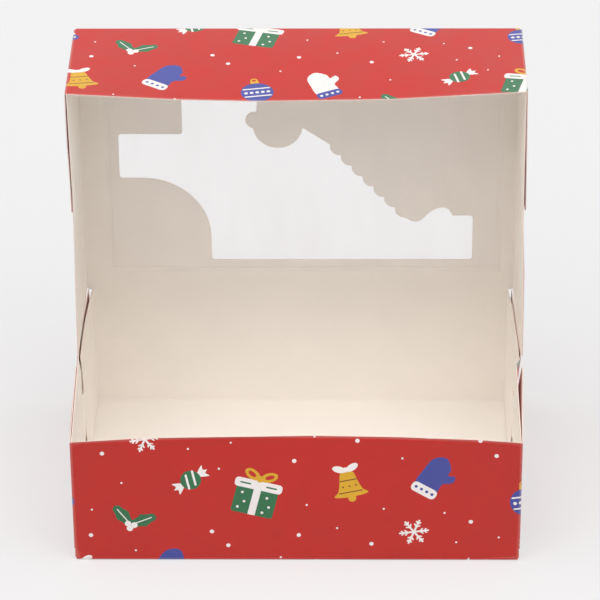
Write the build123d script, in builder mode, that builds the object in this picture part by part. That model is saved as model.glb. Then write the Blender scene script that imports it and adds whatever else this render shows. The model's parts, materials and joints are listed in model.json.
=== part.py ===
from build123d import *
import math
import os

os.makedirs("parts", exist_ok=True)

# A folding carton for sweets. One creased sheet of board makes a tray and a lid as deep
# as the tray, and a clear film is glued behind the window that is cut in the lid.
# Sizes are in millimetres. X runs from left to right, Y from the front to the back and
# Z up. The origin is the middle of the tray's underside, and the lid stands upright.

# Sheets
board = 0.45              # carton board
film_thickness = 0.15     # clear window film
glue_thickness = 0.05     # glue line under the film
glue_width = 5.0

# Tray, measured over the outside of its walls
box_width = 220.0
box_depth = 150.0
wall_height = 69.4

# Lid skirt, measured from the top of the closed lid to its free edge
skirt_depth = 69.5

# Clearances
sheet_gap = 0.15          # between two sheets that lie on each other
fold_gap = 0.05           # between two panels that meet at a crease
lid_seat_gap = 0.1        # between the tops of the walls and the closed lid
lid_side_gap = 1.0        # between the tray's front ears and the closed lid's skirt
lid_front_gap = 1.0       # between the front wall and the closed lid's front flap

# Creases: each has a round bead where the board bulges, on the axis that it folds about
crease_radius = 0.33
crease_gap = 0.15         # between a bead and the panel that turns round it
crease_round = 0.3        # rounding of the tray's bottom edges

# Front ears: the front wall's ends, folded back outside the side walls
front_ear_length = 71.5
front_ear_lift = 7.0      # from the table to the ear's lower edge
ear_top_drop = 0.4        # from the top of the walls to the top of any ear
front_ear_flare = 0.5     # degrees that the ear springs outwards
ear_corner_radius = 4.0

# Rear ears: the back wall's ends, folded forward inside the side walls
rear_ear_length = 69.5
rear_ear_lift = 1.0
rear_ear_flare = 0.4      # degrees that the ear springs inwards

# Lock: a tab on each front ear goes through a slit in the side wall
tab_height = 26.0
tab_lift = 26.0           # from the table to the tab's lower edge
tab_root = 2.0            # how far the tab's root runs back into the ear
tab_run = 1.0             # how far back the tab moves while it crosses the wall
tab_leaf = 4.6            # the part of the tab that lies inside the wall
slit_width = 1.2
slit_end_gap = 0.5        # slit beyond each end of the tab

# Lid ears: the front flap's ends, folded back outside the lid's side flaps
lid_ear_length = 67.5
lid_ear_flare = 1.2       # degrees that the ear springs outwards
lid_ear_setback = 1.2     # from the lid panel's face and from the skirt's free edge
lid_ear_corner_radius = 3.0

# Window: the board left round its box, and its corners
window_left_margin = 19.7
window_right_margin = 22.2
window_bottom_margin = 17.8
window_top_margin = 19.7
window_corner_radius = 1.6
scallop_count = 7
scallop_depth = 2.1

# Film: how far it reaches past the window's box
film_margin = 7.0
film_right_margin = 15.0

# Places worked out from the sizes above
half_width = box_width / 2
back_y = box_depth / 2
front_y = -box_depth / 2
hinge_y = back_y - board / 2
hinge_z = wall_height + lid_seat_gap + board / 2
panel_start = crease_radius + crease_gap
front_half_width = half_width + sheet_gap + board
lid_half_width = front_half_width + lid_side_gap + board
fold_z = hinge_z + (hinge_y - front_y) + lid_front_gap + board / 2
skirt_edge_y = back_y - skirt_depth
lid_ear_x = lid_half_width + sheet_gap + board / 2
sides = (("left", -1), ("right", 1))


def across_plane(y):
    """Upright plane that faces the front: local X runs right and local Y runs up."""
    return Plane(origin=(0, y, 0), x_dir=(1, 0, 0), z_dir=(0, -1, 0))


def side_plane(x, y=0, turn=0):
    """Upright plane from front to back: local X runs back and local Y runs up.

    turn is in degrees. It swings the plane's back towards plus X.
    """
    lean = math.radians(turn)
    along = (math.sin(lean), math.cos(lean), 0)
    outward = (math.cos(lean), -math.sin(lean), 0)
    return Plane(origin=(x, y, 0), x_dir=along, z_dir=outward)


def rectangle_between(low, high):
    """Draw the rectangle between two corners in the open sketch."""
    with Locations(((low[0] + high[0]) / 2, (low[1] + high[1]) / 2)):
        Rectangle(high[0] - low[0], high[1] - low[1])


def round_nearest(sketch, points, radius):
    """Round the corner of the open sketch that is nearest to each point."""
    fillet([sketch.vertices().sort_by_distance(point)[0] for point in points], radius)


def write(part, name):
    """Label a finished piece and write its file."""
    part.part.label = name
    export_step(part.part, "parts/" + name + ".step")


# Tray bottom, with its folded edges rounded
with BuildPart() as base_panel:
    with BuildSketch(Plane.XY):
        Rectangle(box_width, box_depth)
    extrude(amount=board)
    fillet(base_panel.faces().sort_by(Axis.Z)[0].edges(), radius=crease_round)
write(base_panel, "base_panel")

# Front wall, as wide as the ears that its ends fold into
with BuildPart() as front_wall:
    with BuildSketch(across_plane(front_y + board)):
        rectangle_between((-front_half_width, board), (front_half_width, wall_height))
    extrude(amount=board)
write(front_wall, "front_wall")

# Back wall, topped by the bead of the crease that the lid turns on
with BuildPart() as back_wall:
    with BuildSketch(across_plane(back_y)):
        rectangle_between((-half_width, board), (half_width, hinge_z))
    extrude(amount=board)
    with Locations((0, hinge_y, hinge_z)):
        Cylinder(crease_radius, box_width, rotation=(0, 90, 0))
write(back_wall, "back_wall")

# The lock tab's route in plan, as the middle of its sheet on the right side
ear_turn = math.radians(front_ear_flare)
ear_mid_x = half_width + sheet_gap + board / 2
ear_start_y = front_y + board + fold_gap
ear_end_x = ear_mid_x + front_ear_length * math.sin(ear_turn)
ear_end_y = ear_start_y + front_ear_length * math.cos(ear_turn)
leaf_x = half_width - board - sheet_gap - board / 2
wall_mid_share = (ear_end_x - half_width + board / 2) / (ear_end_x - leaf_x)
slit_y = ear_end_y + tab_run * wall_mid_share

for side, sign in sides:
    # Side wall, with the slit that the front ear's tab goes through
    with BuildPart() as side_wall:
        with BuildSketch(side_plane(sign * (half_width - board / 2))):
            rectangle_between((front_y + board, board), (back_y - board, wall_height))
            with Locations((slit_y, tab_lift + tab_height / 2)):
                Rectangle(slit_width, tab_height + 2 * slit_end_gap, mode=Mode.SUBTRACT)
        extrude(amount=board / 2, both=True)
    write(side_wall, "side_wall_" + side)

    # Front ear, outside the side wall, with its lock tab
    with BuildPart() as front_ear:
        with BuildSketch(side_plane(sign * ear_mid_x, ear_start_y, sign * front_ear_flare)) as ear:
            rectangle_between((0, front_ear_lift), (front_ear_length, wall_height - ear_top_drop))
            round_nearest(ear, [(front_ear_length, front_ear_lift)], ear_corner_radius)
        extrude(amount=board / 2, both=True)
        with BuildSketch(Plane.XY.offset(tab_lift)):
            with BuildLine():
                Polyline(
                    (sign * (ear_end_x - tab_root * math.sin(ear_turn)), ear_end_y - tab_root),
                    (sign * ear_end_x, ear_end_y),
                    (sign * leaf_x, ear_end_y + tab_run),
                    (sign * leaf_x, ear_end_y + tab_run + tab_leaf),
                )
            trace(line_width=board)
        extrude(amount=tab_height)
    write(front_ear, "front_ear_" + side)

    # Rear ear, inside the side wall, from the back wall forwards
    with BuildPart() as rear_ear:
        with BuildSketch(
            side_plane(sign * leaf_x, back_y - board - fold_gap, sign * rear_ear_flare)
        ) as ear:
            rectangle_between((-rear_ear_length, rear_ear_lift), (0, wall_height - ear_top_drop))
            round_nearest(
                ear,
                [(-rear_ear_length, rear_ear_lift), (-rear_ear_length, wall_height - ear_top_drop)],
                ear_corner_radius / 2,
            )
        extrude(amount=board / 2, both=True)
    write(rear_ear, "rear_ear_" + side)


# The window's outline is drawn as shares of its box, from its lower left corner.
window_left = window_left_margin - lid_half_width
window_bottom = hinge_z + window_bottom_margin
window_width = 2 * lid_half_width - window_left_margin - window_right_margin
window_height = fold_z - hinge_z - window_bottom_margin - window_top_margin


def in_window(share):
    """Turn a share of the window's width and height into a place on the lid panel."""
    return (window_left + share[0] * window_width, window_bottom + share[1] * window_height)


scallop_first_share = (0.810, 0.219)
scallop_last_share = (0.595, 0.595)
sill_shares = ((0.256, 0.0), (1.0, 0.0), (1.0, 0.229), (0.941, 0.229))
drift_shares = ((0.941, 0.229), (0.920, 0.270), (0.886, 0.256), (0.848, 0.202), (0.810, 0.219))
slope_shares = ((0.595, 0.595), (0.518, 0.680))
lobe_mid_share = (0.438, 0.580)
lobe_end_share = (0.379, 0.679)
knob_mid_share = (0.358, 0.723)
knob_end_share = (0.389, 0.760)
notch_shares = (
    (0.389, 0.760), (0.395, 1.0), (0.180, 1.0), (0.180, 0.648), (0.0, 0.648), (0.0, 0.424),
    (0.066, 0.424),
)
arch_mid_share = (0.2007, 0.3345)
arch_end_share = (0.256, 0.119)
square_corner_shares = (
    (0.256, 0.0), (1.0, 0.0), (1.0, 0.229), (0.395, 1.0), (0.180, 1.0), (0.180, 0.648),
    (0.0, 0.648), (0.0, 0.424),
)


def scallops():
    """Draw the row of round bumps, each an arc that swells into the window."""
    first = Vector(*in_window(scallop_first_share))
    last = Vector(*in_window(scallop_last_share))
    step = (last - first) / scallop_count
    swell = Vector(-step.Y, step.X).normalized() * scallop_depth
    for count in range(scallop_count):
        start = first + step * count
        ThreePointArc(start, start + step / 2 + swell, start + step)


# Lid panel, with the window cut out and the front flap's crease along its top
with BuildPart() as lid_panel:
    with BuildSketch(across_plane(back_y)):
        rectangle_between((-lid_half_width, hinge_z + panel_start), (lid_half_width, fold_z))
        with BuildSketch(across_plane(back_y), mode=Mode.SUBTRACT) as window:
            with BuildLine():
                Polyline([in_window(share) for share in sill_shares])
                Spline([in_window(share) for share in drift_shares])
                scallops()
                Polyline([in_window(share) for share in slope_shares])
                ThreePointArc(
                    in_window(slope_shares[-1]), in_window(lobe_mid_share), in_window(lobe_end_share)
                )
                ThreePointArc(
                    in_window(lobe_end_share), in_window(knob_mid_share), in_window(knob_end_share)
                )
                Polyline([in_window(share) for share in notch_shares])
                ThreePointArc(
                    in_window(notch_shares[-1]), in_window(arch_mid_share), in_window(arch_end_share)
                )
                Polyline([in_window(arch_end_share), in_window(sill_shares[0])])
            make_face()
            round_nearest(
                window, [in_window(share) for share in square_corner_shares], window_corner_radius
            )
    extrude(amount=board)
    with Locations((0, hinge_y, fold_z)):
        Cylinder(crease_radius, 2 * lid_half_width, rotation=(0, 90, 0))
write(lid_panel, "lid_panel")

# Window film and its glue line, on the inside of the lid panel
film_low = (window_left - film_margin, window_bottom - film_margin)
film_high = (
    window_left + window_width + film_right_margin,
    window_bottom + window_height + film_margin,
)
with BuildPart() as film_glue:
    with BuildSketch(across_plane(back_y - board)):
        rectangle_between(film_low, film_high)
        with BuildSketch(across_plane(back_y - board), mode=Mode.SUBTRACT):
            rectangle_between(
                (film_low[0] + glue_width, film_low[1] + glue_width),
                (film_high[0] - glue_width, film_high[1] - glue_width),
            )
    extrude(amount=glue_thickness)
write(film_glue, "film_glue")

with BuildPart() as window_film:
    with BuildSketch(across_plane(back_y - board - glue_thickness)):
        rectangle_between(film_low, film_high)
    extrude(amount=film_thickness)
write(window_film, "window_film")

# Lid front flap, which turns on the crease at the lid panel's top
with BuildPart() as lid_front_flap:
    with BuildSketch(Plane.XY.offset(fold_z)):
        rectangle_between((-lid_ear_x, skirt_edge_y), (lid_ear_x, hinge_y - panel_start))
    extrude(amount=board / 2, both=True)
    lid_ear_low_y = skirt_edge_y + lid_ear_setback
    lid_ear_high_y = back_y - board - lid_ear_setback
    bead_places = [(sign * lid_ear_x, (lid_ear_low_y + lid_ear_high_y) / 2, fold_z) for _, sign in sides]
    with Locations(bead_places):
        Cylinder(crease_radius, lid_ear_high_y - lid_ear_low_y, rotation=(90, 0, 0))
write(lid_front_flap, "lid_front_flap")

for side, sign in sides:
    # Side flap, from the lid panel forwards
    with BuildPart() as lid_side_flap:
        with BuildSketch(side_plane(sign * (lid_half_width - board / 2))):
            rectangle_between(
                (skirt_edge_y, hinge_z + panel_start),
                (back_y - board, fold_z - board / 2 - sheet_gap),
            )
        extrude(amount=board / 2, both=True)
    write(lid_side_flap, "lid_side_flap_" + side)

    # Lid ear, which turns on the crease at the front flap's end and springs outwards
    lean = math.radians(lid_ear_flare)
    ear_plane = Plane(
        origin=(sign * lid_ear_x, 0, fold_z),
        x_dir=(0, 1, 0),
        z_dir=(math.cos(lean), 0, sign * math.sin(lean)),
    )
    with BuildPart() as lid_ear:
        with BuildSketch(ear_plane) as ear:
            rectangle_between((lid_ear_low_y, -lid_ear_length), (lid_ear_high_y, -panel_start))
            round_nearest(
                ear,
                [(lid_ear_low_y, -lid_ear_length), (lid_ear_high_y, -lid_ear_length)],
                lid_ear_corner_radius,
            )
        extrude(amount=board / 2, both=True)
    write(lid_ear, "lid_ear_" + side)

print("tray", box_width, "x", box_depth, "x", wall_height)
print("lid hinge axis y %.3f z %.3f" % (hinge_y, hinge_z))
print("lid fold axis z %.3f, lid ear axis x %.3f" % (fold_z, lid_ear_x))
print("skirt edge y %.3f" % skirt_edge_y)
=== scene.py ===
# %% [markdown]
# A folding carton for sweets, open, with a window in its lid. The real box is one sheet of
# carton board: printed red on one face, plain cream on the other, cut and creased in a press,
# then folded by hand. So this lesson draws the flat sheet once, in millimetres, prints on it,
# and folds every panel out of it. The print then runs across each crease by itself.

# %% Load the frame
import json
import math

import bmesh
import bpy
import numpy as np
from mathutils import Matrix, Vector
from mathutils.geometry import delaunay_2d_cdt


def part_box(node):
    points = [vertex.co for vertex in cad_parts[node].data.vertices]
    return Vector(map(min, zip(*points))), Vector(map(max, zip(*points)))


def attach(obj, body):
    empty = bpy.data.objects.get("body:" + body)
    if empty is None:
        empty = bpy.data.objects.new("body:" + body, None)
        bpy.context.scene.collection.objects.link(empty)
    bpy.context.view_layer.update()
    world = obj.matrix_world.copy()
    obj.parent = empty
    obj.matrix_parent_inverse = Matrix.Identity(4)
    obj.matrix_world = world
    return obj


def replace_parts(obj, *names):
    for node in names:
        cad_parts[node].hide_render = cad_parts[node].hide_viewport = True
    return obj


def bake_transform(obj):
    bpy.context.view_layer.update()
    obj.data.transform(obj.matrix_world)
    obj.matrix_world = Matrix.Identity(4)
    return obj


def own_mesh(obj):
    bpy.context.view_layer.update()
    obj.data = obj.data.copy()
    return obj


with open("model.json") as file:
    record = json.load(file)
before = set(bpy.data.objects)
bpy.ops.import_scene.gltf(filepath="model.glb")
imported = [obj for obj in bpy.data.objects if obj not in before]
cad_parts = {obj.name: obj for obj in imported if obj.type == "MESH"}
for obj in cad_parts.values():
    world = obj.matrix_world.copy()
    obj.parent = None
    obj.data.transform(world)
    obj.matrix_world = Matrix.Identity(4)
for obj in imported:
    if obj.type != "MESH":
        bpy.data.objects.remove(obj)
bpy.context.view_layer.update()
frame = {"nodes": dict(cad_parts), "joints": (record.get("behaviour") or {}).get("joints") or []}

scene = bpy.context.scene
scene.view_settings.view_transform = "Standard"

# %% [markdown]
# Packaging is drawn in millimetres and Blender works in metres, so everything on the flat
# sheet is in millimetres and turns into metres when a mesh is made. The sizes come from the
# loaded panels and hinges, so the folded board lands exactly where the solid panels are.

# %% Read the sizes
MM = 0.001


def box_mm(node):
    """Lowest and highest corner of a loaded panel, in millimetres."""
    low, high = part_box(node)
    return low / MM, high / MM


base_low, base_high = box_mm("base_panel")
half_width, half_depth = base_high.x, base_high.y
board = base_high.z - base_low.z
front_half_width = box_mm("front_wall")[1].x
wall_top = box_mm("front_wall")[1].z
rear_corner_x = box_mm("rear_ear_right")[1].x
lid_half_width = box_mm("lid_panel")[1].x
skirt_edge_y = box_mm("lid_front_flap")[0].y

sides = (("left", -1), ("right", 1))
joints = {joint["name"]: joint for joint in frame["joints"]}
hinge_z = joints["lid_hinge"]["pos_m"][2] / MM
fold_z = joints["lid_flap_fold"]["pos_m"][2] / MM + board / 2
lid_corner_x = joints["lid_ear_right_fold"]["pos_m"][0] / MM + board / 2
print("tray %.1f x %.1f x %.1f mm" % (2 * half_width, 2 * half_depth, wall_top))
print("board %.2f mm, lid fold at z %.2f mm" % (board, fold_z))

# %% [markdown]
# The camera comes next, because every later step is judged through it. It looks slightly down
# through a long lens, as product photographers do to keep the sides of a box parallel. Its
# place and turn were worked out from the box's corners, so they are plain numbers here.

# %% Place the camera
camera_place = Vector((0.0264, -1.4945, 0.9769))
camera_yaw = math.radians(-0.963)
camera_pitch = math.radians(30.219)
camera_roll = math.radians(-0.458)
focal_pixels = 3455.0
picture_pixels = 600.0

forward = Vector((
    math.sin(camera_yaw) * math.cos(camera_pitch),
    math.cos(camera_yaw) * math.cos(camera_pitch),
    -math.sin(camera_pitch),
))
level_right = Vector((math.cos(camera_yaw), -math.sin(camera_yaw), 0))
level_up = level_right.cross(forward)
right = level_right * math.cos(camera_roll) + level_up * math.sin(camera_roll)
up = level_up * math.cos(camera_roll) - level_right * math.sin(camera_roll)

camera_data = bpy.data.cameras.new("camera")
camera_data.sensor_width = 36.0
camera_data.lens = camera_data.sensor_width * focal_pixels / picture_pixels
camera_data.clip_start, camera_data.clip_end = 0.05, 40.0
camera = bpy.data.objects.new("camera", camera_data)
camera.matrix_world = Matrix((right, up, -forward)).transposed().to_4x4()
camera.location = camera_place
scene.collection.objects.link(camera)
scene.camera = camera
print("lens %.0f mm" % camera_data.lens)

# %% [markdown]
# Folded board is lit as in a product studio: a wide soft lamp high at each side, a weaker one in
# front, a low one behind that glances off the lid's flap, and a weak dome in the shadows. The
# dome is plain grey to the eye and to reflections, and lights the box at its own level, so the
# backdrop's tone and the light can be set apart.

# %% Light the studio
backdrop_tone = 0.845
dome_level = 0.05
lamp_softness = math.radians(70)
lamps = {      # strength, and degrees that it leans from overhead to the front and the right
    "left_lamp": (1.77, 12, -35),
    "right_lamp": (1.62, 12, 35),
    "front_lamp": (0.86, 35, 0),
    "rear_lamp": (0.4, -58, 0),
}


def set_inputs(tree, node, inputs):
    """Give each input of a node a number, a colour or another node's output."""
    for name, value in inputs.items():
        if isinstance(value, bpy.types.NodeSocket):
            tree.links.new(value, node.inputs[name])
        else:
            node.inputs[name].default_value = value


def add_node(tree, kind, settings=None, inputs=None):
    """Add a node with its settings and its inputs."""
    made = tree.nodes.new(kind)
    for name, value in (settings or {}).items():
        setattr(made, name, value)
    set_inputs(tree, made, inputs or {})
    return made


def combine(tree, operation, first, second):
    """One step of arithmetic on two values."""
    made = add_node(tree, "ShaderNodeMath", {"operation": operation}, {0: first, 1: second})
    return made.outputs[0]


def mix_shaders(tree, share, first, second):
    """The first shader where share is 0, the second where it is 1."""
    made = add_node(tree, "ShaderNodeMixShader", inputs={
        0: share, 1: first.outputs[0], 2: second.outputs[0]})
    return made


def grey(level):
    """A grey, as a shader's colour."""
    return (level, level, level, 1)


def seen_directly(tree):
    """1 for rays from the camera, in reflections and through clear film, else 0."""
    path = add_node(tree, "ShaderNodeLightPath").outputs
    either = combine(tree, "MAXIMUM", path["Is Camera Ray"], path["Is Glossy Ray"])
    return combine(tree, "MAXIMUM", either, path["Is Transmission Ray"])


world = bpy.data.worlds.new("studio_dome")
world.use_nodes = True
scene.world = world
dome = world.node_tree
dome.nodes.clear()
lighting = add_node(dome, "ShaderNodeBackground", inputs={
    "Color": grey(1), "Strength": dome_level})
backdrop = add_node(dome, "ShaderNodeBackground", inputs={
    "Color": grey(backdrop_tone), "Strength": 1.0})
chosen = mix_shaders(dome, seen_directly(dome), lighting, backdrop)
add_node(dome, "ShaderNodeOutputWorld", inputs={"Surface": chosen.outputs[0]})

for lamp_name, (strength, to_front, to_right) in lamps.items():
    lamp_data = bpy.data.lights.new(lamp_name, "SUN")
    lamp_data.energy = strength
    lamp_data.angle = lamp_softness
    lamp = bpy.data.objects.new(lamp_name, lamp_data)
    lamp.rotation_euler = (math.radians(to_front), math.radians(to_right), 0)
    scene.collection.objects.link(lamp)
print(len(lamps), "lamps, dome level", dome_level)

# %% [markdown]
# The box stands on a plain pale table that runs on into the backdrop. Seen directly, it shows
# the backdrop's tone for the most part, and for the rest it is a matt surface that keeps the
# box's soft shadow. To all other light it is plain matt paper.

# %% Lay the table
table_half_size = 12.0
table_tone = 0.80
backdrop_part = 0.62


def new_object(name, points, edges=(), faces=()):
    """Object with a mesh of its own, from points in metres."""
    mesh = bpy.data.meshes.new(name)
    mesh.from_pydata(points, edges, faces)
    made = bpy.data.objects.new(name, mesh)
    scene.collection.objects.link(made)
    return made


table_corners = [(x * table_half_size, y * table_half_size, 0)
                 for x, y in ((-1, -1), (1, -1), (1, 1), (-1, 1))]
table = new_object("table", table_corners, faces=[(0, 1, 2, 3)])
table_material = bpy.data.materials.new("table_paper")
table_material.use_nodes = True
table_shader = table_material.node_tree.nodes["Principled BSDF"]
table_tree = table_material.node_tree
set_inputs(table_tree, table_shader, {
    "Base Color": grey(table_tone), "Roughness": 0.9, "Specular IOR Level": 0.1})
table_glow = add_node(table_tree, "ShaderNodeEmission", inputs={
    "Color": grey(backdrop_tone), "Strength": 1.0})
glow_share = combine(table_tree, "MULTIPLY", seen_directly(table_tree), backdrop_part)
table_mix = mix_shaders(table_tree, glow_share, table_shader, table_glow)
set_inputs(table_tree, table_tree.nodes["Material Output"], {"Surface": table_mix.outputs[0]})
table.data.materials.append(table_material)
print("table reaches %.0f m to each side" % table_half_size)

# %% [markdown]
# A finish is a small tree of nodes, and most of its nodes do one of a few jobs: give a noise,
# stretch a range, tint or blend a colour, or raise the surface. One helper for each job keeps
# the trees short. Every finish starts from object coordinates, so its grain stays on the board
# when the lid moves.

# %% Make helpers for the finishes
noise_middle = (0.3, 0.7)            # most values of a noise lie in this range


def linear(tone):
    """A colour picked on screen, 0 to 255, as the linear light that shaders use."""
    def channel(value):
        share = value / 255
        return share / 12.92 if share <= 0.04045 else ((share + 0.055) / 1.055) ** 2.4
    return tuple(channel(value) for value in tone) + (1.0,)


def new_finish(name):
    """A material with an empty node tree, its shader and its object coordinates."""
    material = bpy.data.materials.new(name)
    material.use_nodes = True
    tree = material.node_tree
    tree.nodes.clear()
    shader = add_node(tree, "ShaderNodeBsdfPrincipled")
    add_node(tree, "ShaderNodeOutputMaterial", inputs={"Surface": shader.outputs[0]})
    place = add_node(tree, "ShaderNodeTexCoord").outputs["Object"]
    print("finish", name)
    return material, tree, shader, place


def noise(tree, place, per_metre, detail=2.0, roughness=0.5):
    """Noise whose lumps are about 1 / per_metre metres wide."""
    made = add_node(tree, "ShaderNodeTexNoise", inputs={
        "Vector": place, "Scale": per_metre, "Detail": detail, "Roughness": roughness})
    return made.outputs["Fac"]


def remap(tree, value, given, wanted):
    """Turn one range of a value into another one, and hold it at the ends."""
    made = add_node(tree, "ShaderNodeMapRange", {"clamp": True}, {
        "Value": value, "From Min": given[0], "From Max": given[1],
        "To Min": wanted[0], "To Max": wanted[1]})
    return made.outputs["Result"]


def tint(tree, colour, amount):
    """Multiply a colour by a grey amount near 1."""
    made = add_node(tree, "ShaderNodeVectorMath", {"operation": "SCALE"}, {
        0: colour, "Scale": amount})
    return made.outputs["Vector"]


def blend_colours(tree, share, first, second):
    """first where share is 0, second where it is 1."""
    made = add_node(tree, "ShaderNodeMix", {"data_type": "RGBA"}, {
        "Factor": share, 6: first, 7: second})      # 6 and 7 are its two colours
    return made.outputs[2]


def raise_surface(tree, shader, height, depth, strength):
    """Bump the shader's surface by a height from 0 to 1, depth metres deep."""
    made = add_node(tree, "ShaderNodeBump", inputs={
        "Height": height, "Distance": depth, "Strength": strength})
    set_inputs(tree, shader, {"Normal": made.outputs["Normal"]})


print("screen white is", linear((255, 255, 255)))

# %% [markdown]
# Carton board is printed and then varnished. The inks come from an attribute that is stored
# in the mesh, so one material serves every panel. Real print is never one flat colour: the ink
# lies a little unevenly, the fibres show through the varnish, and it cracks to bare fibre
# along creases and cut edges. A narrow lighter band along the same lines is partly rubbed ink
# and partly a painted highlight of the rounded creases. The mesh stores how far each point is
# from those lines.

# %% Finish: printed face
ink_tones = {
    "red": (186, 24, 10),
    "white": (236, 230, 227),
    "blue": (62, 70, 150),
    "green": (40, 106, 66),
    "gold": (214, 162, 30),
    "brown": (116, 62, 22),
}
bare_fibre = (240, 222, 212)
ink_in_mottle = (0.965, 1.035)       # least and most ink over patches of a centimetre
ink_in_grain = (0.975, 1.025)        # and over the finest grain
crack_reach = (0.0, 0.6)             # millimetres that cracks reach from a crease or a cut
crack_depth = (0.0, 0.6)             # share of ink that they take away, in some places only
# The lighter band near creases and cuts is partly rubbed ink and partly a painted highlight of the
# rounded creases; the next two lines set its width and strength.
rub_and_highlight_reach = (0.5, 1.5)            # millimetres over which rubbed ink gets whole again
rub_and_highlight_share = (0.12, 0.0)
print_roughness = (0.34, 0.46)
crack_roughness = 0.3                # bare fibre is this much rougher
grain_height = 0.5                   # share of the relief that the grain has
printed_board, tree, shader, place = new_finish("printed_board")
ink = add_node(tree, "ShaderNodeAttribute", {"attribute_name": "ink"}).outputs["Color"]
from_edge = add_node(tree, "ShaderNodeAttribute", {"attribute_name": "from_edge"}).outputs["Fac"]
mottle = noise(tree, place, per_metre=90, detail=4)
grain = noise(tree, place, per_metre=2600, detail=2)
uneven = combine(tree, "MULTIPLY", remap(tree, mottle, noise_middle, ink_in_mottle),
                 remap(tree, grain, noise_middle, ink_in_grain))
crack_lumps = noise(tree, place, per_metre=520, detail=5, roughness=0.75)
cracked = combine(tree, "LESS_THAN", from_edge,
                  remap(tree, crack_lumps, (0.45, 0.8), crack_reach))
crack_places = noise(tree, place, per_metre=70, detail=3)
cracked = combine(tree, "MULTIPLY", cracked,
                  remap(tree, crack_places, (0.5, 0.68), crack_depth))
# Painted highlight: near creases and cuts the ink is lightened towards bare fibre, partly as
# rubbed ink and partly in place of the light that rounded creases catch.
rub_and_highlight = combine(tree, "MULTIPLY", remap(tree, from_edge, rub_and_highlight_reach, rub_and_highlight_share), uneven)
inked = blend_colours(tree, rub_and_highlight, tint(tree, ink, uneven), linear(bare_fibre))
shown = blend_colours(tree, cracked, inked, linear(bare_fibre))
dull = remap(tree, combine(tree, "ADD", grain, mottle), (0.7, 1.3), print_roughness)
dull = combine(tree, "ADD", dull, combine(tree, "MULTIPLY", cracked, crack_roughness))
set_inputs(tree, shader, {
    "Base Color": shown, "Roughness": dull, "Specular IOR Level": 0.5,
    "Sheen Weight": 0.36, "Sheen Roughness": 0.25})
height = combine(tree, "ADD", combine(tree, "MULTIPLY", grain, grain_height),
                 noise(tree, place, per_metre=420, detail=3))
raise_surface(tree, shader, height, depth=0.00006, strength=0.35)

# %% [markdown]
# The inside is the board's own face with a thin cream coating. It is nearly matt, with fine
# fibres pressed flat in all directions and a soft mottling that only shows in low light.

# %% Finish: plain inside face
inside_tone = (247, 240, 232)
coat_in_mottle = (0.985, 1.01)       # how light the coating is over its soft patches
coat_on_fibres = (1.0, 0.975)        # and how much darker it is on a fibre
fibre_turns = (0.3, 1.5, 2.6)        # radians, for three layers that cross each other
fibre_slimness = 9.0                 # a fibre is this much longer than it is wide
plain_board, tree, shader, place = new_finish("plain_board")
fibres = None
for turn in fibre_turns:
    turned = add_node(tree, "ShaderNodeMapping", inputs={
        "Vector": place, "Rotation": (turn, turn * 0.7, turn),
        "Scale": (1.0, fibre_slimness, fibre_slimness)})
    strand = noise(tree, turned.outputs["Vector"], per_metre=260, detail=3, roughness=0.6)
    fibres = strand if fibres is None else combine(tree, "MAXIMUM", fibres, strand)
mottle = noise(tree, place, per_metre=45, detail=4)
uneven = combine(tree, "MULTIPLY", remap(tree, mottle, noise_middle, coat_in_mottle),
                 remap(tree, fibres, (0.5, 0.8), coat_on_fibres))
tone = add_node(tree, "ShaderNodeRGB")
tone.outputs[0].default_value = linear(inside_tone)
set_inputs(tree, shader, {
    "Base Color": tint(tree, tone.outputs[0], uneven),
    "Roughness": remap(tree, fibres, (0.45, 0.8), (0.52, 0.68)), "Specular IOR Level": 0.35})
raise_surface(tree, shader, fibres, depth=0.00004, strength=0.3)

# %% [markdown]
# Where the press cuts the board, its edge shows the layers of pulp: pale, rough and a little
# furry, with the print's red bleeding into the first layer.

# %% Finish: cut edge
edge_tone = (242, 226, 215)
edge_shade = (228, 200, 188)
cut_edge, tree, shader, place = new_finish("cut_edge")
pulp = noise(tree, place, per_metre=3200, detail=4, roughness=0.7)
tone = blend_colours(tree, remap(tree, pulp, (0.35, 0.65), (0.0, 1.0)),
                     linear(edge_tone), linear(edge_shade))
set_inputs(tree, shader, {"Base Color": tone, "Roughness": 0.85, "Specular IOR Level": 0.2})
raise_surface(tree, shader, pulp, depth=0.00008, strength=0.6)

# %% [markdown]
# The window is closed by a clear film. A film this thin doesn't bend light, so it is mostly
# see-through, with a mirror sheen that grows at a glancing angle. The sheen comes from the
# facing angle and not from a Fresnel node, which would turn the far face into a full mirror.
# It mirrors the pale table over the tray's front wall, so its upper half looks greyer. A faint
# haze and long soft ripples keep it from looking like an empty hole. Light on its way to the
# board passes straight through, so the film casts no shadow there.

# %% Finish: window film
film_tone = (0.998, 0.996, 0.998, 1)
sheen_tone = (0.9, 0.9, 0.92, 1)
haze_tone = (0.94, 0.87, 0.85, 1)
sheen_share = (0.006, 0.9)           # seen straight on, and at the flattest angle
haze_share = (0.04, 0.09)            # in the hollows and on the crests of its ripples
ripple_stretch = (1.0, 1.0, 0.35)    # the ripples are longer upwards than across
window_plastic = bpy.data.materials.new("window_plastic")
window_plastic.use_nodes = True
tree = window_plastic.node_tree
tree.nodes.clear()
place = add_node(tree, "ShaderNodeTexCoord").outputs["Object"]
stretched = add_node(tree, "ShaderNodeMapping", inputs={
    "Vector": place, "Scale": ripple_stretch})
ripple = noise(tree, stretched.outputs["Vector"], per_metre=38, detail=3)
bump = add_node(tree, "ShaderNodeBump", inputs={
    "Height": ripple, "Distance": 0.0006, "Strength": 0.5})
clear = add_node(tree, "ShaderNodeBsdfTransparent", inputs={"Color": film_tone})
sheen = add_node(tree, "ShaderNodeBsdfGlossy", inputs={
    "Color": sheen_tone, "Roughness": 0.08, "Normal": bump.outputs[0]})
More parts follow.
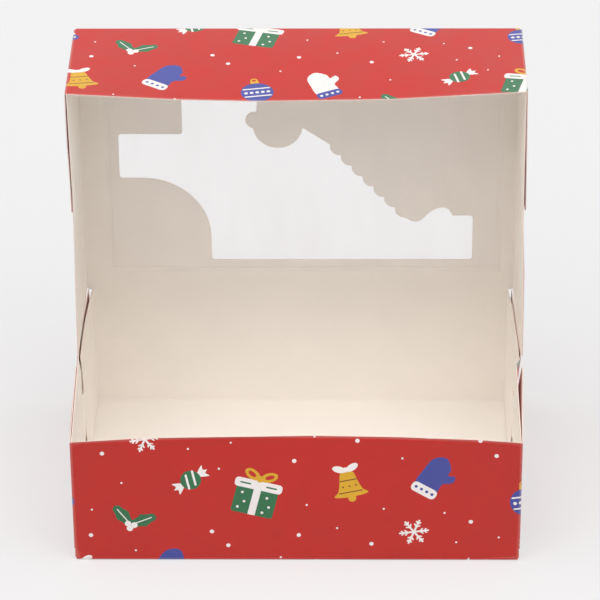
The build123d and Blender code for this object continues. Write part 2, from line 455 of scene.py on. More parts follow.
glance = add_node(tree, "ShaderNodeLayerWeight", inputs={
    "Blend": 0.5, "Normal": bump.outputs[0]}).outputs["Facing"]
path = add_node(tree, "ShaderNodeLightPath").outputs
lighting = combine(tree, "MAXIMUM", path["Is Shadow Ray"], path["Is Diffuse Ray"])
looked_at = combine(tree, "SUBTRACT", 1.0, lighting)
mirror = remap(tree, combine(tree, "POWER", glance, 5.0), (0.0, 1.0), sheen_share)
mirror = combine(tree, "MULTIPLY", mirror, looked_at)
shiny = mix_shaders(tree, mirror, clear, sheen)
haze = add_node(tree, "ShaderNodeBsdfDiffuse", inputs={"Color": haze_tone})
milky = combine(tree, "MULTIPLY", remap(tree, ripple, noise_middle, haze_share), looked_at)
film_mix = mix_shaders(tree, milky, shiny, haze)
add_node(tree, "ShaderNodeOutputMaterial", inputs={"Surface": film_mix.outputs[0]})
print("finish", window_plastic.name)

# %% [markdown]
# The glue that holds the film has dried to a thin cream line. It is smoother than board, and
# small lumps break its gloss, so one noise sets its tone, its roughness and its surface.

# %% Finish: glue line
glue_tone = (243, 235, 224)
glue_shade = (232, 222, 208)
glue, tree, shader, place = new_finish("dried_glue")
lumps = noise(tree, place, per_metre=700, detail=3)
set_inputs(tree, shader, {
    "Base Color": blend_colours(tree, lumps, linear(glue_tone), linear(glue_shade)),
    "Roughness": remap(tree, lumps, noise_middle, (0.18, 0.4))})
raise_surface(tree, shader, lumps, depth=0.0002, strength=0.5)
print("finishes", [m.name for m in bpy.data.materials])

# %% [markdown]
# Folding is done by paths. Seen edge on, the printed face of a folded strip is a line that
# runs straight, turns on a small round crease, and runs straight again. A path turns the
# distance along the flat sheet into that line, and gives the direction into the board, so the
# inner face is the same path one thickness further in.

# %% Fold the sheet along paths
crease_radius = 0.8       # of the printed face, in millimetres
rim_radius = 1.4          # the same, for the softer creases round the tray's bottom
crease_lead = 0.35        # flat run between a crease and the seam of two pieces
seam = crease_radius + crease_lead
rim_seam = rim_radius + crease_lead


def into_board(heading):
    """Direction into the board, where a path heads along an angle."""
    return np.array([-math.sin(heading), math.cos(heading)])


def fold_path(start_run, start, bends):
    """Print face of a strip that starts at the 2-D point start and heads along its first axis.

    bends lists (run, turn in degrees, radius). A positive turn is towards the board's inside.
    """
    legs = []
    point, heading, run = np.array(start, float), 0.0, start_run
    for corner_run, turn, radius in bends:
        angle = math.radians(turn)
        reach = radius * math.tan(abs(angle) / 2)
        legs.append((run, point, heading, 0.0, 1.0, 1.0))
        ahead = np.array([math.cos(heading), math.sin(heading)])
        point = point + (corner_run - reach - run) * ahead
        run = corner_run - reach
        legs.append((run, point, heading, angle, radius, 2 * reach))
        side = math.copysign(1.0, angle)
        hub = point + side * radius * into_board(heading)
        heading += angle
        point = hub - side * radius * into_board(heading)
        run += 2 * reach
    legs.append((run, point, heading, 0.0, 1.0, 1.0))

    def follow(runs):
        """Point and inward direction, as four arrays, at each distance along the sheet."""
        runs = np.asarray(runs, float)
        found = np.zeros((4, len(runs)))
        starts = [leg[0] for leg in legs]
        which = np.clip(np.searchsorted(starts, runs, side="right") - 1, 0, len(legs) - 1)
        for index, (begin, origin, course, angle, radius, length) in enumerate(legs):
            mask = which == index
            along = runs[mask] - begin
            turned = course + angle * along / length
            inward = np.array([-np.sin(turned), np.cos(turned)])
            if angle:
                side = math.copysign(1.0, angle)
                hub = origin + side * radius * into_board(course)
                where = hub[:, None] - side * radius * inward
            else:
                ahead = np.array([[math.cos(course)], [math.sin(course)]])
                where = origin[:, None] + ahead * along
            found[:, mask] = np.vstack((where, inward))
        return found

    return follow


print("a crease takes %.2f mm to each side of its line" % seam)

# %% [markdown]
# One path folds the whole middle column of the sheet: front wall, bottom, back wall, lid and
# front flap. Its start is the front wall's top edge, and it heads down, so the sheet's own
# frame is turned first. The other paths fold the side walls and the ears. Each place function
# takes points of the flat sheet and a depth below the print, and returns points in space.

# %% Name the paths
right_angle = 90.0
front_ear_turn = right_angle - 0.5       # a front ear stands a little open
rear_ear_turn = right_angle + 0.05       # and a rear ear leans in by a trace
tab_low, tab_high = 26.0, 52.0           # heights of the lock tab on the front ear's end
tab_turn = 61.2           # degrees that it turns into the side wall's slit, and back again
tab_radius = 0.5          # of the crease where it turns back
tab_crossing = 2.08       # run between its two creases, through the slit
tab_crossing_y = 1.0      # how far the crossing takes it back along the box
tab_leaf = 4.6            # its length inside the wall

fold_run = half_depth + fold_z
hinge_run = half_depth + hinge_z
tab_end_y = half_depth + box_mm("front_ear_right")[1].y
front_ear_end = front_half_width + (tab_end_y - tab_leaf - tab_crossing_y)
rear_ear_end = rear_corner_x + half_depth - box_mm("rear_ear_right")[0].y
lid_ear_end = lid_corner_x + fold_z - box_mm("lid_ear_right")[0].z

middle_path = fold_path(-half_depth - wall_top, (-wall_top, 0.0), [
    (-half_depth, right_angle, rim_radius),
    (half_depth, right_angle, rim_radius),
    (fold_run, right_angle, crease_radius),
])
side_wall_path = fold_path(0.0, (0.0, 0.0), [(half_width, right_angle, rim_radius)])
front_ear_path = fold_path(0.0, (0.0, -half_depth), [
    (front_half_width, front_ear_turn, crease_radius),
    (front_ear_end, tab_turn, crease_radius),
    (front_ear_end + tab_crossing, -tab_turn, tab_radius),
])
rear_ear_path = fold_path(0.0, (0.0, -half_depth), [
    (rear_corner_x, rear_ear_turn, crease_radius)])
lid_side_path = fold_path(0.0, (0.0, -half_depth), [
    (lid_half_width, right_angle, crease_radius)])
lid_ear_path = fold_path(0.0, (0.0, -fold_z), [(lid_corner_x, right_angle, crease_radius)])


def no_bow(u, v):
    """A panel that is quite flat."""
    return np.zeros_like(u)


def place_middle(bow=no_bow):
    """Fold points of the middle column; the path starts heading down the front wall."""
    def place(u, v, depth):
        down, across, into_down, into_across = middle_path(v)
        inward = depth + bow(u, v)
        y = across + into_across * inward - half_depth
        z = -(down + into_down * inward)
        return np.stack((u, y, z), 1)
    return place


def place_side(path, side, to_space, bow=no_bow, drop=no_bow):
    """Fold points of a side strip; to_space puts the path's plane and the run along it."""
    def place(u, v, depth):
        out, up_path, into_out, into_up = path(side * u)
        inward = depth + bow(u, v)
        x, along = side * (out + into_out * inward), up_path + into_up * inward
        folded = np.stack(to_space(x, along, v), 1)
        folded[:, 2] -= drop(u, v)
        return folded
    return place


def to_side_wall(x, height, v):
    """Side walls stand up, and the sheet's v is the box's y."""
    return x, v, height


def to_front_ear(x, y, v):
    """Front ears run back, and the sheet's v falls up the front wall."""
    return x, y, -half_depth - v


def to_rear_corner(x, forward_y, v):
    """Rear ears and the lid's side flaps run forward, and v rises up the back."""
    return x, -forward_y, v - half_depth


def to_lid_ear(x, down, v):
    """Lid ears hang down, and v runs forward along the front flap."""
    return x, half_depth - (v - fold_run), -down


check = middle_path([-half_depth - wall_top, 0.0, hinge_run, fold_run + 10.0])
print("path check", np.round(check, 2).tolist())

# %% [markdown]
# The print is a scatter of festive shapes: baubles, gifts, bells, mittens, holly, wrapped
# sweets, snowflakes and snow dots. Each is a list of ink outlines, painted in order. They are
# made of a few simple makers: a disc, a bar with round ends, a rounded slab and a smooth loop.

# %% Draw simple outlines
def disc(x, y, radius, count=28):
    """Circle as a loop of points."""
    return [(x + radius * math.cos(2 * math.pi * i / count),
             y + radius * math.sin(2 * math.pi * i / count)) for i in range(count)]


def dots(tone, places, radius, count):
    """A disc of one ink at each place."""
    return [(tone, disc(x, y, radius, count)) for x, y in places]


def across_and_up(turn):
    """How far one step that heads some degrees upwards goes across and up."""
    return math.cos(math.radians(turn)), math.sin(math.radians(turn))


def oval(x, y, long_radius, short_radius, turn, count=24):
    """Ellipse turned by some degrees."""
    c, s = across_and_up(turn)
    return [(x + a * long_radius * c - b * short_radius * s,
             y + a * long_radius * s + b * short_radius * c) for a, b in disc(0, 0, 1, count)]


def bar(x0, y0, x1, y1, width, count=5):
    """Straight stroke with round ends."""
    course = math.atan2(y1 - y0, x1 - x0)
    ends = ((x1, y1, course - math.pi / 2), (x0, y0, course + math.pi / 2))
    return [(x + width / 2 * math.cos(first + math.pi * i / count),
             y + width / 2 * math.sin(first + math.pi * i / count))
            for x, y, first in ends for i in range(count + 1)]


def slab(x, y, width, height, radius, count=3):
    """Rectangle about its middle, with rounded corners."""
    loop = []
    for corner, (sx, sy) in enumerate(((1, 1), (-1, 1), (-1, -1), (1, -1))):
        cx, cy = x + sx * (width / 2 - radius), y + sy * (height / 2 - radius)
        for i in range(count + 1):
            angle = math.pi / 2 * (corner + i / count)
            loop.append((cx + radius * math.cos(angle), cy + radius * math.sin(angle)))
    return loop


def smooth_loop(points, steps=6):
    """Closed curve that passes through the points and has no corners."""
    loop = []
    count = len(points)
    for i in range(count):
        p0, p1, p2, p3 = (np.array(points[(i + k) % count], float) for k in (-1, 0, 1, 2))
        for step in range(steps):
            t = step / steps
            loop.append(tuple(0.5 * (
                2 * p1 + (p2 - p0) * t + (2 * p0 - 5 * p1 + 4 * p2 - p3) * t ** 2
                + (3 * p1 - p0 - 3 * p2 + p3) * t ** 3)))
    return loop


print("a disc has", len(disc(0, 0, 1)), "points")

# %% [markdown]
# Each shape is drawn about its own middle, upright and in millimetres. What is listed first is
# painted first, so bands, dots and bows come after the body that they lie on. Real print is
# made of flat shapes like these too, with one plate for each ink.

# %% Draw the festive shapes
def bauble():
    """Blue ball with a dotted band and a gold cap."""
    parts = [("gold", disc(0, 8.4, 1.5, 16)), ("red", disc(0, 8.4, 0.8, 12)),
             ("gold", slab(0, 6.8, 3.4, 2.0, 0.4)), ("blue", disc(0, 0, 6.4, 40))]
    parts += [("white", bar(-5.1, y, 5.1, y, 0.7)) for y in (-2.6, 2.6)]
    return parts + dots("white", [(x, 0) for x in (-4.4, -2.2, 0.0, 2.2, 4.4)], 0.75, 14)


def gift():
    """Green box with a white lid and ribbon, and a gold bow."""
    parts = [("green", slab(0, -2.2, 15.0, 11.0, 0.8))]
    parts += dots("white", [(-5, 0.4), (-3.6, -3), (-5.4, -5.6), (4, 0), (5.4, -3.4),
                            (3.6, -6)], 0.5, 12)
    parts += [("white", slab(0, -2.2, 2.6, 11.0, 0.1)), ("white", slab(0, 4.2, 17.0, 3.6, 1.2)),
              ("green", bar(-6.4, 4.2, -3.0, 4.2, 0.6)), ("green", bar(3.0, 4.2, 6.4, 4.2, 0.6))]
    for side in (-1, 1):
        parts += [("gold", oval(side * 3.0, 8.0, 3.1, 1.8, side * 28)),
                  ("red", oval(side * 3.2, 8.1, 1.7, 0.8, side * 28, 16))]
    return parts + [("gold", disc(0, 6.7, 1.3, 16))]


def mitten(body, cuff, spots):
    """Mitten with its thumb out and a dotted cuff."""
    hand = smooth_loop([(-4.2, -5.5), (4.0, -5.6), (4.6, -1.0), (7.6, 1.6), (7.2, 4.4), (4.6, 3.6),
                        (4.2, 6.4), (0.6, 9.6), (-3.6, 7.0), (-4.6, 1.0)])
    parts = [(body, hand), (cuff, slab(0, -6.6, 10.4, 4.2, 1.6))]
    return parts + dots(spots, [(x, -6.6) for x in (-3.4, -1.1, 1.2, 3.5)], 0.62, 12)


def bell():
    """Gold bell with brown bands and a white bow."""
    outline = smooth_loop([(0, 6.6), (2.6, 5.4), (3.6, 1.6), (4.8, -2.2), (6.6, -4.4), (0, -5.2),
                           (-6.6, -4.4), (-4.8, -2.2), (-3.6, 1.6), (-2.6, 5.4)])
    parts = [("gold", disc(0, -5.8, 1.6, 16)), ("gold", outline),
             ("brown", bar(-4.6, -3.0, 4.6, -3.0, 0.45)),
             ("brown", bar(-3.2, 2.2, 3.2, 2.2, 0.45))]
    parts += dots("brown", [(-2.6, -0.4), (0, -0.4), (2.6, -0.4)], 0.4, 10)
    for side in (-1, 1):
        parts.append(("white", oval(side * 2.6, 7.4, 2.7, 1.4, side * 24)))
    return parts + [("white", disc(0, 6.8, 1.1, 14))]


def snowflake():
    """Six white arms, each with two pairs of twigs."""
    parts = []
    for arm in range(6):
        c, s = math.cos(math.pi / 3 * arm), math.sin(math.pi / 3 * arm)
        parts.append(("white", bar(0, 0, 5.6 * c, 5.6 * s, 0.8)))
        for reach, twig in ((2.4, 1.5), (4.0, 1.2)):
            for side in (-1, 1):
                angle = math.pi / 3 * arm + side * math.pi / 4
                x, y = reach * c, reach * s
                tip_x, tip_y = x + twig * math.cos(angle), y + twig * math.sin(angle)
                parts.append(("white", bar(x, y, tip_x, tip_y, 0.6)))
    return parts


def holly():
    """Two scalloped leaves with pale ribs, and three white berries."""
    parts = []
    for turn in (38, 142):
        c, s = across_and_up(turn)
        leaf, count = [], 48
        for i in range(count):
            angle = 2 * math.pi * i / count
            wide = 3.1 - 0.75 * abs(math.cos(3 * angle))
            a, b = 5.6 + 5.6 * math.cos(angle), wide * math.sin(angle)
            leaf.append((a * c - b * s, a * s + b * c))
        parts.append(("green", leaf))
        parts.append(("white", bar(1.6 * c, 1.6 * s, 9.2 * c, 9.2 * s, 0.45)))
    return parts + dots("white", [(-1.3, 0.2), (1.4, 0.2), (0.0, -1.8)], 1.35, 16)


def wrapped_sweet():
    """Round sweet in a twist of paper, with two bands."""
    parts = []
    for side in (-1, 1):
        twist = [(side * 3.2, 0), (side * 7.4, 2.9), (side * 6.8, 0.9),
                 (side * 8.2, 0), (side * 6.8, -0.9), (side * 7.4, -2.9)]
        parts.append(("white", smooth_loop(twist[::side], 4)))
    parts.append(("green", disc(0, 0, 4.3, 32)))
    parts += [("white", bar(x - 1.2, -y, x + 1.2, y, 0.9)) for x, y in ((-1.6, 2.9), (1.6, 2.9))]
    return parts


print("a gift has", len(gift()), "outlines")

# %% [markdown]
# Printed packaging repeats: one tile of artwork is stepped across the sheet, and every other
# column is dropped by half a tile so that the rows don't line up. The places on the tile are
# listed one by one, as a designer scatters them, with large and small snow dots in the gaps.

# %% Scatter them over the sheet
tile_width, tile_height = 132.0, 104.0
tile_shift = (-40.0, 14.0)
tile_shapes = [      # shape, place across and up, turn in degrees, scale
    (gift, 20, 80, -14, 1.4), (lambda: mitten("white", "blue", "white"), 53, 32, 24, 1.25),
    (bell, 66, 86, 12, 1.25), (snowflake, 98, 60, 8, 1.25), (bauble, 21, 26, 10, 1.25),
    (holly, 90, 12, -16, 1.2), (wrapped_sweet, 120, 37, 35, 1.2),
    (lambda: mitten("blue", "white", "blue"), 107, 91, -30, 1.3),
]
large_dots = [(41, 58), (77, 53), (6, 52), (39, 99), (126, 66), (70, 6), (130, 8)]
small_dots = [(32, 45), (60, 62), (86, 36), (49, 8), (113, 71), (83, 73), (2, 95), (119, 54),
              (92, 101), (8, 5), (45, 75), (71, 21)]
large_dot_radius, small_dot_radius = 1.1, 0.55
sheet_low = -150.0        # v just under the sheet's lowest edge, where row 0 of the tiles starts
tile_columns, tile_rows = range(-2, 3), range(-1, 7)      # enough of them to cover the sheet


def scatter():
    """Every ink outline on the flat sheet, in painting order; up on the artwork is minus v."""
    prints = []
    for column in tile_columns:
        for row in tile_rows:
            u0 = tile_shift[0] + column * tile_width
            v0 = sheet_low + tile_shift[1] + (row + 0.5 * (column % 2)) * tile_height
            for draw, x, y, turn, scale in tile_shapes:
                c, s = (scale * part for part in across_and_up(turn))
                for tone_name, loop in draw():
                    prints.append((tone_name, [
                        (u0 + x + a * c - b * s, v0 - y - a * s - b * c) for a, b in loop]))
            for places, radius in ((large_dots, large_dot_radius), (small_dots, small_dot_radius)):
                prints += dots("white", [(u0 + x, v0 - y) for x, y in places], radius, 14)
    return prints


prints = scatter()
print(len(prints), "ink outlines on the sheet")

# %% [markdown]
# A panel is cut from the sheet as a flat triangle mesh in which every outline is a line of
# edges: its own rim, its holes, the inks and a light grid for the curves of the board. The
# Delaunay tool keeps note of the outlines that each triangle lies in, so the last one painted
# gives the triangle its ink.

# %% Cut a panel from the sheet
grid_step = 5.0           # of the light grid, in millimetres
crease_rows = 8           # strips across the curve of a crease
loop_tolerance = 1e-5
smooth_angle = math.radians(50)      # edges that turn by less are shaded smooth
beyond_crease = 0.01      # a cut starts this far beyond the seam of a crease


def signed_area(loop):
    """Area of a loop, positive if it runs counter-clockwise."""
    a = np.array(loop)
    b = np.roll(a, -1, axis=0)
    return 0.5 * float(np.sum(a[:, 0] * b[:, 1] - b[:, 0] * a[:, 1]))


def block(low_u, high_u, low_v, high_v):
    """Rectangle on the sheet, as a loop of corners."""
    return [(low_u, low_v), (high_u, low_v), (high_u, high_v), (low_u, high_v)]


def touches(loop, low, high):
    """True if the loop's box meets the box from low to high."""
    a = np.array(loop)
    return bool(np.all(a.min(0) < high) and np.all(a.max(0) > low))


def chain(first, count):
    """Edges that join a row of points, by the number of the first one."""
    return [(i, i + 1) for i in range(first, first + count - 1)]


def cut_panel(outline, holes, lines):
    """Points, triangles and inks of a panel; lines are extra rows of edges, such as creases."""
    low, high = np.array(outline).min(0), np.array(outline).max(0)
    inks = [(name, loop) for name, loop in prints if touches(loop, low, high)]
    points, loops, edges = [], [], []
    for loop in [outline, *holes, *(loop for _, loop in inks)]:
        ordered = loop if signed_area(loop) > 0 else loop[::-1]
        loops.append(list(range(len(points), len(points) + len(ordered))))
        points += ordered
    for line in lines:
        edges += chain(len(points), len(line))
        points += line
    width, height = high - low
    columns, rows = max(1, round(width / grid_step)), max(1, round(height / grid_step))
    points += [(low[0] + width * i / columns, low[1] + height * j / rows)
               for i in range(1, columns) for j in range(1, rows)]
    found, _, triangles, _, _, sources = delaunay_2d_cdt(
        [Vector(point) for point in points], edges, loops, 0, loop_tolerance)
    kept, tones = [], []
    for triangle, source in zip(triangles, sources):
        if 0 in source and not any(0 < s <= len(holes) for s in source):
            kept.append(triangle)
            top = max(source)
            tones.append(inks[top - 1 - len(holes)][0] if top > len(holes) else "red")
    used = sorted({corner for triangle in kept for corner in triangle})
    renumber = {old: new for new, old in enumerate(used)}
    flat = np.array([found[old] for old in used], float)
    return flat, np.array([[renumber[c] for c in t] for t in kept]), tones


print("a panel is cut with a grid of %.0f mm" % grid_step)

# %% [markdown]
# The print's finish has to know how far a point lies from the nearest crease or cut, since ink
# cracks and rubs off there, and a painted highlight lightens it there. All creases are listed
# once, on the flat sheet, and a panel's own cuts are added to them when it is made.

# %% Know where the creases run
def distance_to_lines(flat, lines):
    """Least distance of each point to a list of straight segments."""
    least = np.full(len(flat), 1e9)
    for a, b in lines:
        a, b = np.array(a, float), np.array(b, float)
        length_squared = max(float((b - a) @ (b - a)), 1e-12)
        along = np.clip((flat - a) @ (b - a) / length_squared, 0, 1)
        least = np.minimum(least, np.linalg.norm(flat - a - along[:, None] * (b - a), axis=1))
    return least


lid_ear_low_y, lid_ear_high_y = (corner.y for corner in box_mm("lid_ear_right"))
ear_low_z, ear_high_z = (corner.z for corner in box_mm("front_ear_right"))
rear_low_z = box_mm("rear_ear_right")[0].z
creases = [
    ((-half_width, -half_depth), (half_width, -half_depth)),
    ((-half_width, half_depth), (half_width, half_depth)),
    ((-lid_half_width, fold_run), (lid_half_width, fold_run)),
]
for side in (-1, 1):
    creases += [((side * u, low_v), (side * u, high_v)) for u, low_v, high_v in (
        (half_width, -half_depth, half_depth),
        (front_half_width, -half_depth - ear_low_z, -half_depth - ear_high_z),
        (rear_corner_x, half_depth + rear_low_z, half_depth + ear_high_z),
        (lid_half_width, hinge_run, fold_run),
        (lid_corner_x, fold_run + half_depth - lid_ear_high_y,
         fold_run + half_depth - lid_ear_low_y),
    )]
print(len(creases), "creases on the sheet")

# %% [markdown]
# A flat panel becomes a solid by folding it twice: once for the printed face and once a board's
# thickness further in. Every edge that has a triangle on one side only belongs to the rim, and
# there a band of cut board joins both faces, so the piece is closed.

# %% Fold a panel and close its rim
def shade_smooth(mesh):
    """Shade a mesh smooth, and keep its sharp edges sharp."""
    mesh.polygons.foreach_set("use_smooth", [True] * len(mesh.polygons))
    mesh.set_sharp_from_angle(angle=smooth_angle)


def board_panel(name, outline, place, holes=(), lines=()):
    """Make one folded piece of printed board as a closed solid."""
    flat, triangles, tones = cut_panel(outline, list(holes), list(lines))
    count = len(flat)
    outer = place(flat[:, 0], flat[:, 1], 0.0)
    inner = place(flat[:, 0], flat[:, 1], board)
    edges = dict.fromkeys(pair for a, b, c in triangles for pair in ((a, b), (b, c), (c, a)))
    rim = [(a, b) for a, b in edges if (b, a) not in edges]
    faces = [(c, b, a) for a, b, c in triangles]
    faces += [(a + count, b + count, c + count) for a, b, c in triangles]
    faces += [(a, b, b + count, a + count) for a, b in rim]
    faces = [tuple(map(int, face)) for face in faces]
    made = new_object(name, (np.vstack((outer, inner)) * MM).tolist(), faces=faces)
    mesh = made.data
    for material in (printed_board, plain_board, cut_edge):
        mesh.materials.append(material)
    slots = [0] * len(triangles) + [1] * len(triangles) + [2] * len(rim)
    mesh.polygons.foreach_set("material_index", slots)
    shade_smooth(mesh)

    colours = {tone_name: linear(tone) for tone_name, tone in ink_tones.items()}
    corner_inks = [colours[tone_name] for tone_name in tones for _ in range(3)]
    corner_inks += [colours["red"]] * (len(mesh.loops) - len(corner_inks))
    layer = mesh.color_attributes.new("ink", "FLOAT_COLOR", "CORNER")
    layer.data.foreach_set("color", np.array(corner_inks, np.float32).ravel())

    cuts = []
    for loop in [outline, *holes]:
        for a, b in zip(loop, [*loop[1:], loop[0]]):
            middle = (np.array([a], float) + np.array([b], float)) / 2
            if distance_to_lines(middle, creases)[0] > rim_seam + beyond_crease:
                cuts.append((a, b))
    away = distance_to_lines(flat, creases + cuts)
    layer = mesh.attributes.new("from_edge", "FLOAT", "POINT")
    layer.data.foreach_set("value", np.concatenate((away, away)).astype(np.float32))
    mesh.validate()
    print("%s: %d faces" % (name, len(mesh.polygons)))
    return made


print("faces that meet at over %.0f degrees stay sharp" % math.degrees(smooth_angle))

# %% [markdown]
# Three more makers serve all panels: free corners of cut board are rounded, bows rise and fade
# along soft S-curves, and a crease needs a few rows of edges across it to bend evenly.

# %% Round corners, ease bows and divide creases
def rounded(points, radii, count=6):
    """Replace each corner that has a radius by an arc, for corners of any angle."""
    loop = []
    for i, (point, radius) in enumerate(zip(points, radii)):
        if not radius:
            loop.append(tuple(point))
            continue
        p = np.array(point, float)
        to_last = np.array(points[i - 1], float) - p
        to_next = np.array(points[(i + 1) % len(points)], float) - p
        to_last, to_next = to_last / np.linalg.norm(to_last), to_next / np.linalg.norm(to_next)
        half = math.acos(float(to_last @ to_next)) / 2
        reach, away = radius / math.tan(half), radius / math.sin(half)
        hub = p + (to_last + to_next) / np.linalg.norm(to_last + to_next) * away
        first, last = p + to_last * reach - hub, p + to_next * reach - hub
        start = math.atan2(first[1], first[0])
        sweep = (math.atan2(last[1], last[0]) - start + math.pi) % (2 * math.pi) - math.pi
        for k in range(count + 1):
            angle = start + sweep * k / count
            loop.append((float(hub[0] + radius * math.cos(angle)),
                         float(hub[1] + radius * math.sin(angle))))
    return loop


def eased(x, stops, values):
    """Values at rising stops, joined by soft S-curves."""
    stops, values = np.array(stops), np.array(values)
    x = np.clip(x, stops[0], stops[-1])
    i = np.clip(np.searchsorted(stops, x, side="right") - 1, 0, len(stops) - 2)
    t = (x - stops[i]) / (stops[i + 1] - stops[i])
    return values[i] + (values[i + 1] - values[i]) * t * t * (3 - 2 * t)


def crease_lines(centre, low, high, across_u, radius=crease_radius):
    """Rows of edges over a crease, so that its curve is smooth and even."""
    lines = []
    for row in range(crease_rows + 1):
        run = centre - radius + 2 * radius * row / crease_rows
        steps = max(2, round((high - low) / grid_step))
        spots = [low + (high - low) * i / steps for i in range(steps + 1)]
        lines.append([(run, spot) if across_u else (spot, run) for spot in spots])
    return lines


print("a quarter of the way, a soft step has risen by", eased(0.25, (0.0, 1.0), (0.0, 1.0)))

# %% [markdown]
# The bottom keeps the four creases at its rim, each a quarter turn that ends in a short flat
# run, where the walls take over. Its corners are open, as on the real sheet, where a cut
# frees each wall from its neighbour. The front and back creases run on to the very corners.

# %% Tray: bottom
flat_u, flat_v = half_width - rim_radius, half_depth - rim_radius
rim_u, rim_v = half_width + rim_seam, half_depth + rim_seam
corner_cut = 0.3          # the side creases stop this far before the corners
edge_slack = 0.001        # points on a seam count as lying inside it
side_v = flat_v - corner_cut
front_end_u, back_end_u = half_width - corner_cut, rear_corner_x - board
bottom_outline = [
    (-front_end_u, -rim_v), (front_end_u, -rim_v), (front_end_u, -flat_v), (flat_u, -flat_v),
    (flat_u, -side_v), (rim_u, -side_v), (rim_u, side_v), (flat_u, side_v),
    (flat_u, flat_v), (back_end_u, flat_v), (back_end_u, rim_v), (-back_end_u, rim_v),
    (-back_end_u, flat_v), (-flat_u, flat_v), (-flat_u, side_v), (-rim_u, side_v),
    (-rim_u, -side_v), (-flat_u, -side_v), (-flat_u, -flat_v), (-front_end_u, -flat_v)]


def place_bottom(u, v, depth):
    """The bottom's side creases follow the side walls' path, and the rest the middle one."""
    folded = place_middle()(u, v, depth)
    for side in (-1, 1):
        at_side = (side * u > flat_u + edge_slack) & (np.abs(v) < side_v + edge_slack)
        turned = place_side(side_wall_path, side, to_side_wall)(u, v, depth)
        folded[at_side] = turned[at_side]
    return folded


bottom_lines = []
for side in (-1, 1):
    bottom_lines += crease_lines(side * half_depth, -back_end_u, back_end_u, False, rim_radius)
    bottom_lines += crease_lines(side * half_width, -side_v, side_v, True, rim_radius)
board_bottom = board_panel("board_bottom", bottom_outline, place_bottom, lines=bottom_lines)

# %% [markdown]
# Board that is held only at its ends never stays flat. The front wall's free edge bows into
# the tray by a few millimetres in its middle, and the bow fades to nothing at the bottom
# crease and at the corners. Its ends step in where the ears' own creases join on.

# %% Tray: front and back walls
front_bow = 6.5           # millimetres into the tray at the middle of the top edge
bow_fullness = 0.85       # under 1, the bow stays full towards the wall's ends
bow_rise = 1.7            # over 1, it starts slowly above the bottom crease
back_bow = 0.3
lip_height, lip_below, lip_width = 0.2, 2.4, 0.8      # a faint ridge under the top edge
lip_fullness = 0.3
lip_points = 45           # in each row along the ridge
lip_rows = (-2, -1.2, -0.6, 0, 0.6, 1.2, 2)           # rows across it, in ridge widths
step_gap = 0.1            # pieces keep this far from the steps in an outline


def both_sides(right_side):
    """Outline of a panel from the points of its right side, mirrored for the left."""
    return right_side + [(-u, v) for u, v in reversed(right_side)]


def bow_front_wall(u, v):
    """Bow of the front wall's free edge, fading towards its crease and its ends."""
    rise = np.clip((-half_depth - v) / wall_top, 0, 1)
    middle = np.clip(1 - (u / front_half_width) ** 2, 0, 1)
    lip = lip_height * np.exp(-((v + half_depth + wall_top - lip_below) / lip_width) ** 2)
    return front_bow * middle ** bow_fullness * rise ** bow_rise - lip * middle ** lip_fullness


def bow_back(u, v):
    """Slight dish of the back wall and the lid, nothing at their creases."""
    width = np.clip(1 - (u / rear_corner_x) ** 2, 0, 1)
    wall = np.clip((v - half_depth) / hinge_z, 0, 1)
    lid = np.clip((v - hinge_run) / (fold_run - hinge_run), 0, 1)
    rise = np.where(v < hinge_run, wall, lid)
    return back_bow * width * np.sin(np.pi * rise) ** 2


hinge_reach = 1.0         # half the strip of board that bends at the lid's hinge
corner_reach = 0.35       # the lid's corners and side flaps start this far above the hinge
narrow, wide = front_half_width - seam, front_half_width - crease_radius / 2
front_ear_low_v, front_ear_high_v = -half_depth - ear_low_z, -half_depth - ear_high_z
front_right = [
    (wide, -half_depth - rim_seam), (wide, front_ear_low_v + step_gap),
    (narrow, front_ear_low_v + step_gap), (narrow, front_ear_high_v - step_gap),
    (wide, front_ear_high_v - step_gap), (wide, -half_depth - wall_top),
]
lip_lines = [[(u, -half_depth - wall_top + lip_below + row * lip_width)
              for u in np.linspace(-narrow, narrow, lip_points)] for row in lip_rows]
board_front = board_panel(
    "board_front_wall", both_sides(front_right), place_middle(bow_front_wall), lines=lip_lines)
back_right = [(rear_corner_x - seam, half_depth + rim_seam),
              (rear_corner_x - seam, hinge_run - hinge_reach)]
board_back = board_panel("board_back_wall", both_sides(back_right), place_middle(bow_back))

# %% [markdown]
# Each side wall has a slit for the front ear's lock tab. The front ear lies outside the wall:
# it bulges behind its crease, its free corners spring away, and its tab dives through the
# slit. The closing lid presses ears and walls flat, so crease, ear and tab are pieces of
# their own that meet at hidden seams. The rear ear lies inside. Behind the slit nothing holds
# the wall's top edge, so it springs out under the lid's flap, and the rear ear follows it.

# %% Tray: sizes of its sides and ears
slit_half_width = 0.6
slit_end_gap = 0.5
ear_corner_radius, ear_top_radius = 4.0, 1.0
tab_corner_radius = 1.5
rear_corner_radius = 2.0
wall_end_v = half_depth - board
root_seam = crease_radius * math.tan(math.radians(tab_turn) / 2) + crease_lead
ear_bulge = {-1: 0.8, 1: 0.5}       # millimetres outwards, behind the front corner
bulge_shares = (0.0, 0.17, 0.55)    # of the ear's length: where it starts, is full and ends
ear_spring = {-1: 1.3, 1: 2.6}      # millimetres outwards at the free top corner
ear_spring_low = 0.5                # and at the lower one
spring_shares = (0.45, 1.0)         # of the ear's length, between which it springs away
lean_stops = (-4.0, 10.0, 32.0, 55.0, half_depth)    # y of the values in the next line
wall_leans = {-1: (0.0, 2.7, 2.4, 1.9, 1.2), 1: (0.0, 3.5, 2.8, 2.1, 1.2)}
rear_leans = {-1: 0.65, 1: 0.9}      # share of the wall's lean that the rear ear follows
rear_spring = 0.45
rear_bend = 20.0          # how far in front of its corner the rear ear meets the wall
tab_x, tab_y = front_ear_path(
    np.linspace(front_ear_end, front_ear_end + tab_crossing, 41))[:2]
